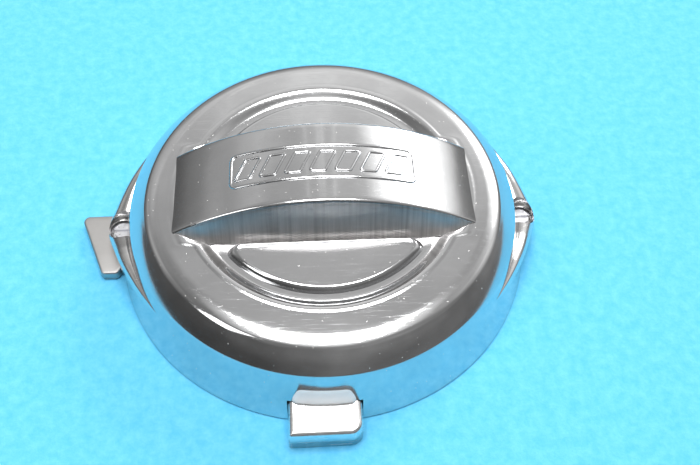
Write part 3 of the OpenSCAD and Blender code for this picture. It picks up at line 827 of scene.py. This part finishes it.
wobble = sum(rng.normal(0, 0.05) * np.cos(k * turns + rng.uniform(0, 6.28)) for k in range(2, 14))
for t in np.linspace(0, 1, 15):
    swell = FOAM_BULGE * math.sin(math.pi * t) ** 0.5 - FOAM_BULGE
    rows.append(foam_row(foam_r1 + swell + wobble * math.sin(math.pi * t) * 0.5 - 0.15, t))
rows += [foam_row(foam_r0 + 0.03, t) for t in np.linspace(1, 0, 5)]
foam = loft("foam_tube", np.array(rows).transpose(1, 0, 2), wrap=True, sharp_deg=50)
mat, tree, shader = new_material("oiled_foam")
coord = add(tree, "ShaderNodeTexCoord").outputs["Object"]
pores = add(tree, "ShaderNodeTexVoronoi", [(0, coord), (2, 900.0)], feature="F1").outputs["Distance"]
tone = add(tree, "ShaderNodeTexNoise", [(0, coord), (2, 40.0), (3, 3.0)]).outputs[0]
# The pores are painted dark inside, as painted shade in the holes; the same mask also sinks them in the bump.
pore_depth_and_shade = stretch(tree, pores, 0.15, 0.55, 0.0, 1.0)
skin = mix(tree, pore_depth_and_shade, (0.012, 0.016, 0.02, 1), (0.10, 0.13, 0.16, 1))
tree.links.new(skin, shader.inputs["Base Color"])
tree.links.new(stretch(tree, tone, 0.3, 0.7, 0.62, 0.9), shader.inputs["Roughness"])
bump = add(tree, "ShaderNodeBump", [("Height", pore_depth_and_shade), ("Distance", 0.0006), ("Strength", 1.0)])
tree.links.new(bump.outputs[0], shader.inputs["Normal"])
foam.data.materials.append(mat)
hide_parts("foam_sleeve")
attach(foam, "element")

# ---------------------------------------------------------------------------
# Filter paper: resin-stiffened paper in deep pleats, its tone drifting in soft
# blotches, with the maker's fine creped surface.
# ---------------------------------------------------------------------------
mat, tree, shader = new_material("creped_paper")
coord = add(tree, "ShaderNodeTexCoord").outputs["Object"]
fine = add(tree, "ShaderNodeTexNoise", [(0, coord), (2, 1400.0), (3, 4.0), (4, 0.7)]).outputs[0]
blotch = add(tree, "ShaderNodeTexNoise", [(0, coord), (2, 60.0), (3, 3.0)]).outputs[0]
sheet_tone = mix(tree, stretch(tree, blotch, 0.35, 0.65), (0.74, 0.58, 0.30, 1), (0.82, 0.68, 0.40, 1))
skin = mix(tree, stretch(tree, fine, 0.35, 0.65, 0.0, 0.5), sheet_tone, (0.55, 0.41, 0.19, 1))
tree.links.new(skin, shader.inputs["Base Color"])
tree.links.new(stretch(tree, fine, 0.3, 0.7, 0.75, 0.95), shader.inputs["Roughness"])
bump = add(tree, "ShaderNodeBump", [("Height", fine), ("Distance", 0.0002), ("Strength", 0.8)])
tree.links.new(bump.outputs[0], shader.inputs["Normal"])
finishes = {"paper_element": mat}

# ---------------------------------------------------------------------------
# Rubber: the moulded end rings of the element, the seal strips and the cord
# in the flange, matt with a faint bloom and grains of dust.
# ---------------------------------------------------------------------------
def rubber(name, colour, bloom):
    """Moulded rubber: colour, paler bloom in clouds, soft uneven sheen."""
    mat, tree, shader = new_material(name)
    marks, coord = marks_node(tree)
    skin = mix(tree, marks.outputs["Clouds"], (*colour, 1), (*bloom, 1))
    tree.links.new(mix(tree, marks.outputs["Dust"], skin, (0.6, 0.58, 0.54, 1)), shader.inputs["Base Color"])
    fine = add(tree, "ShaderNodeTexNoise", [(0, coord), (2, 700.0), (3, 3.0)]).outputs[0]
    tree.links.new(stretch(tree, fine, 0.3, 0.7, 0.45, 0.65), shader.inputs["Roughness"])
    bump = add(tree, "ShaderNodeBump", [("Height", fine), ("Distance", 0.0001), ("Strength", 0.6)])
    tree.links.new(bump.outputs[0], shader.inputs["Normal"])
    return mat


ring_rubber = rubber("end_ring_rubber", (0.55, 0.16, 0.04), (0.62, 0.24, 0.09))
black_rubber = rubber("black_rubber", (0.02, 0.02, 0.021), (0.045, 0.044, 0.043))
finishes.update(element_top_ring=ring_rubber, element_bottom_ring=ring_rubber)
finishes.update(cover_seal=black_rubber, flange_seal=black_rubber)

# ---------------------------------------------------------------------------
# Steel and brass hardware: bright zinc on the screws, washers, clamp plate and
# core, ground steel on the dowel, turned brass in the ears.
# ---------------------------------------------------------------------------
def plated(name, colour, tint, rough, grain_axis):
    """Plated or turned metal: colour drifting to a tint, grain along an axis, darker in scratches."""
    mat, tree, shader = new_material(name)
    marks, coord = marks_node(tree)
    squash = add(tree, "ShaderNodeMapping", [(0, coord), (3, grain_axis)]).outputs[0]
    grain = add(tree, "ShaderNodeTexNoise", [(0, squash), (2, 1.0), (3, 3.0), (4, 0.6)]).outputs[0]
    skin = mix(tree, marks.outputs["Clouds"], (*colour, 1), (*tint, 1))
    skin = mix(tree, marks.outputs["Scratches"], skin, (*[c * 0.7 for c in colour], 1))
    tree.links.new(skin, shader.inputs["Base Color"])
    shader.inputs["Metallic"].default_value = 1.0
    tree.links.new(stretch(tree, grain, 0.3, 0.7, rough, rough + 0.16), shader.inputs["Roughness"])
    bump = add(tree, "ShaderNodeBump", [("Height", grain), ("Distance", 0.00006), ("Strength", 0.8)])
    tree.links.new(bump.outputs[0], shader.inputs["Normal"])
    return mat


zinc = plated("bright_zinc", (0.78, 0.78, 0.80), (0.70, 0.72, 0.78), 0.22, (500.0, 500.0, 60.0))
zinc_pressed = plated("zinc_pressing", (0.66, 0.66, 0.67), (0.58, 0.60, 0.64), 0.28, (60.0, 400.0, 60.0))
ground = plated("ground_steel", (0.60, 0.60, 0.61), (0.52, 0.51, 0.50), 0.2, (80.0, 80.0, 1500.0))
brass = plated("turned_brass", (0.72, 0.55, 0.26), (0.60, 0.43, 0.19), 0.24, (80.0, 80.0, 1500.0))
wire_steel = plated("wire_steel", (0.52, 0.52, 0.53), (0.44, 0.44, 0.46), 0.32, (300.0, 300.0, 300.0))
cast_nut = plated("plated_wing_casting", (0.60, 0.60, 0.62), (0.50, 0.50, 0.52), 0.34, (400.0, 400.0, 400.0))
rivet_alloy = plated("rivet_alloy", (0.68, 0.68, 0.68), (0.60, 0.60, 0.61), 0.3, (500.0, 500.0, 500.0))
for name in ("cover_screw_left", "cover_screw_right"):
    finishes[name] = zinc
for name in ("cover_washer_left", "cover_washer_right", "clamp_washer",
             "clamp_plate", "stud_bridge", "element_core"):
    finishes[name] = zinc_pressed
for name in ("centre_stud", "stud_lock_nut", "locating_dowel"):
    finishes[name] = ground
finishes.update(thread_inserts=brass, wing_nut=cast_nut, screen_rivets=rivet_alloy)
finishes.update(element_screen=wire_steel, inlet_screens=wire_steel)
for name, finish in finishes.items():
    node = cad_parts[name]
    node.data.materials.clear()
    node.data.materials.append(finish)
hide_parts("inlet_screens")
for piece in [screens, *frames]:
    piece.data.materials.append(wire_steel)
    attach(piece, "base")

# ---------------------------------------------------------------------------
# Setting: a plain pale sheet to lie on, soft studio light, and the camera.
# ---------------------------------------------------------------------------
SHEET = 3
floor_mesh = bpy.data.meshes.new("floor")
floor_mesh.from_pydata([(x, y, 0) for x, y in box_plan(-SHEET, SHEET, -SHEET, SHEET)], [], [(0, 1, 2, 3)])
floor = bpy.data.objects.new("floor", floor_mesh)
bpy.context.scene.collection.objects.link(floor)
cloth, tree, shader = new_material("pale_sheet")
coord = add(tree, "ShaderNodeTexCoord").outputs["Object"]
fibre = add(tree, "ShaderNodeTexNoise", [(0, coord), (2, 180.0), (3, 6.0), (4, 0.7)]).outputs[0]
near_tone = mix(tree, stretch(tree, fibre, 0.35, 0.65), (0.10, 0.52, 0.86, 1), (0.16, 0.61, 0.92, 1))
from_object = add(tree, "ShaderNodeVectorMath", [(0, coord)], operation="LENGTH").outputs["Value"]
sheet_tone = mix(tree, stretch(tree, from_object, 0.9, 1.8), near_tone, (0.50, 0.50, 0.49, 1))
tree.links.new(sheet_tone, shader.inputs["Base Color"])
shader.inputs["Roughness"].default_value = 0.9
bump = add(tree, "ShaderNodeBump", [("Height", fibre), ("Distance", 0.0006), ("Strength", 0.6)])
tree.links.new(bump.outputs[0], shader.inputs["Normal"])
floor.data.materials.append(cloth)


def soft_box(name, place, size_x, size_y, watts):
    """White rectangular area light at a place, turned to face the object."""
    data = bpy.data.lights.new(name, "AREA")
    data.shape = "RECTANGLE"
    data.size, data.size_y = size_x, size_y
    data.energy = watts
    light = bpy.data.objects.new(name, data)
    bpy.context.scene.collection.objects.link(light)
    light.location = place
    light.rotation_euler = (Vector((0, 0, 0)) - Vector(place)).to_track_quat("-Z", "Y").to_euler()


soft_box("overhead", (0.0, 0.10, 1.5), 0.75, 0.62, 18)
soft_box("right_rear", (1.08, 1.22, 1.05), 0.75, 0.5, 10)
soft_box("left_front", (-1.1, -0.6, 1.2), 0.5, 0.8, 5)

# The room round the object: darker in front and to the left, paler behind, with a bright patch high on the right
# and another overhead.
world = bpy.data.worlds.new("studio")
bpy.context.scene.world = world
world.use_nodes = True
tree = world.node_tree
back = tree.nodes["Background"]
way = add(tree, "ShaderNodeTexCoord").outputs["Generated"]
parts = add(tree, "ShaderNodeSeparateXYZ", [(0, way)]).outputs


def levels(value, stops):
    """Smooth grey ramp of a value through (position, grey) stops; the first two are the ends at 0 and 1."""
    ramp = add(tree, "ShaderNodeValToRGB", [(0, value)])
    ramp.color_ramp.interpolation = "EASE"
    for k, (place, grey) in enumerate(stops):
        stop = ramp.color_ramp.elements[k] if k < 2 else ramp.color_ramp.elements.new(place)
        stop.position = place
        stop.color = (grey, grey, grey, 1)
    return ramp.outputs[0]


rear_sky = levels(parts["Z"], [(0.0, 0.24), (1.0, 0.75), (0.15, 0.26), (0.34, 0.55), (0.52, 0.98),
                               (0.66, 0.92), (0.74, 0.68), (0.82, 0.56), (0.90, 0.50)])
front_sky = levels(parts["Z"], [(0.0, 0.16), (1.0, 0.5), (0.25, 0.17), (0.5, 0.26), (0.8, 0.33)])
blend = stretch(tree, parts["Y"], -0.15, 0.25)
sky = mix(tree, blend, front_sky, rear_sky)
left_side = stretch(tree, parts["X"], -0.55, 0.05, 0.5, 1.0)


def patch(towards, lo, hi, strength):
    """Round bright patch of the room, from the cosine of the angle to its middle: 0 at lo, full at hi."""
    cosine = add(tree, "ShaderNodeVectorMath", [(0, way), (1, towards)], operation="DOT_PRODUCT").outputs["Value"]
    return stretch(tree, cosine, lo, hi, 0.0, strength)


high_right, overhead = patch((0.56, 0.655, 0.507), 0.935, 0.985, 1.1), patch((0.0, 0.03, 1.0), 0.90, 0.975, 0.7)
lobe = math_node(tree, "ADD", high_right, overhead)
# A few pale upright strips behind the object and soft blotches all round, as in any room.
across = math_node(tree, "DIVIDE", parts["X"], math_node(tree, "MAXIMUM", parts["Y"], 0.05))
strips = levels(stretch(tree, across, -0.5, 0.5),
                [(0.0, 0.0), (1.0, 0.0), (0.33, 0.0), (0.355, 1.0), (0.375, 0.0), (0.465, 0.0), (0.485, 1.0),
                 (0.505, 0.2), (0.53, 1.0), (0.555, 0.0), (0.62, 0.0), (0.65, 0.8), (0.68, 0.0)])
strip_height = levels(parts["Z"], [(0.0, 0.0), (1.0, 0.0), (0.55, 0.0), (0.62, 0.32), (0.80, 0.30), (0.86, 0.0)])
window = math_node(tree, "MULTIPLY", strips, strip_height)
room = add(tree, "ShaderNodeTexNoise", [(0, way), (2, 3.2), (3, 3.0), (4, 0.55)]).outputs[0]
sky = math_node(tree, "ADD", sky, math_node(tree, "MULTIPLY", window, blend))
sky = math_node(tree, "MULTIPLY", sky, stretch(tree, room, 0.3, 0.7, 0.80, 1.22))
total = math_node(tree, "ADD", math_node(tree, "MULTIPLY", sky, left_side), lobe)
tree.links.new(total, back.inputs["Strength"])
back.inputs["Color"].default_value = (1.0, 0.995, 0.985, 1)

# Camera: a 46 mm lens in front of the object and above it, looking about 55 degrees down. It is yawed and rolled a
# little, and then camera and aim are swung together about the drum's axis.
yaw, pitch, roll, swing = (math.radians(v) for v in (2.95, 55.43, 1.63, -1.5))
LENS_MM, SENSOR_MM = 46.29, 36.0
eye = np.array([0.0, -0.25724, 0.37706])
look = np.array([math.sin(yaw) * math.cos(pitch), math.cos(yaw) * math.cos(pitch), -math.sin(pitch)])
right = np.cross(look, [0, 0, 1])
right /= np.linalg.norm(right)
over = np.cross(right, look)
rolled_right = math.cos(roll) * right + math.sin(roll) * over
rolled_up = -math.sin(roll) * right + math.cos(roll) * over
spin = np.array([[math.cos(swing), -math.sin(swing), 0], [math.sin(swing), math.cos(swing), 0], [0, 0, 1]])
cols = [spin @ rolled_right, spin @ rolled_up, -(spin @ look), spin @ eye]
cam_data = bpy.data.cameras.new("camera")
cam_data.lens, cam_data.sensor_width = LENS_MM, SENSOR_MM
cam_data.clip_start = 0.01
camera = bpy.data.objects.new("camera", cam_data)
bpy.context.scene.collection.objects.link(camera)
camera.matrix_world = Matrix([[*(float(c[i]) for c in cols)] for i in range(3)] + [[0, 0, 0, 1]])
bpy.context.scene.camera = camera
bpy.context.scene.view_settings.view_transform = "Standard"
